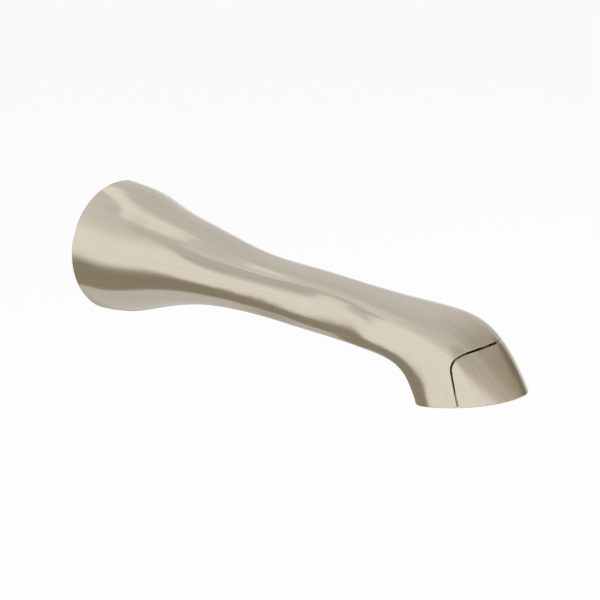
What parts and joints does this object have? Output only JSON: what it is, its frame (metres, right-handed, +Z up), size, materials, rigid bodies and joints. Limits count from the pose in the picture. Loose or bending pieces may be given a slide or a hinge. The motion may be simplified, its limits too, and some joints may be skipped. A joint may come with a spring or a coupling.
{
  "type": "wall mounted bath spout with pull-down diverter",
  "caption": "Wall mounted bath faucet spout: a flared round flange narrows to a squared neck and a downturned tip, whose front nose pulls down to divert water to a shower.",
  "frame": {"origin": "centre of the supply socket's mouth, on the wall plane", "axes": "+Y into the wall along the supply, the spout reaches out along -Y, +Z up, X across"},
  "size_m": [0.0598, 0.2251, 0.0623],
  "materials": {
    "brushed_nickel": "satin brushed nickel plate, warm",
    "grey_foam": "closed cell seal",
    "brass": "machined",
    "screw_steel": "plain stainless",
    "black_rubber": "moulded seal",
    "white_plastic": "moulded",
    "grey_plastic": "moulded"
  },
  "bodies": {
    "spout": {"spout_body": "brushed_nickel", "wall_gasket": "grey_foam", "supply_socket": "brass", "socket_screws": "screw_steel", "supply_o_rings": "black_rubber", "set_screw": "screw_steel", "water_tube": "white_plastic", "rear_tube_o_ring": "black_rubber", "front_tube_o_ring": "black_rubber", "valve_housing": "white_plastic", "seat_guide": "grey_plastic", "seat_o_ring": "black_rubber", "housing_screws": "screw_steel"},
    "diverter": {"diverter_pull": "brushed_nickel", "pull_carrier": "grey_plastic", "carrier_screws": "screw_steel", "valve_stem": "brass", "seal_retainer": "brass", "seal_washer": "black_rubber", "valve_disc": "grey_plastic", "disc_nut": "brass", "stem_clip": "screw_steel", "return_spring": "screw_steel"}
  },
  "joints": [
    {"name": "diverter_pull_down", "type": "slide", "parent": "spout", "child": "diverter", "axis": [0, -0.2756, -0.9613], "range_m": [0, 0.006], "stiffness_N_per_m": 300, "springref_m": -0.01, "deforming": ["return_spring"]}
  ]
}
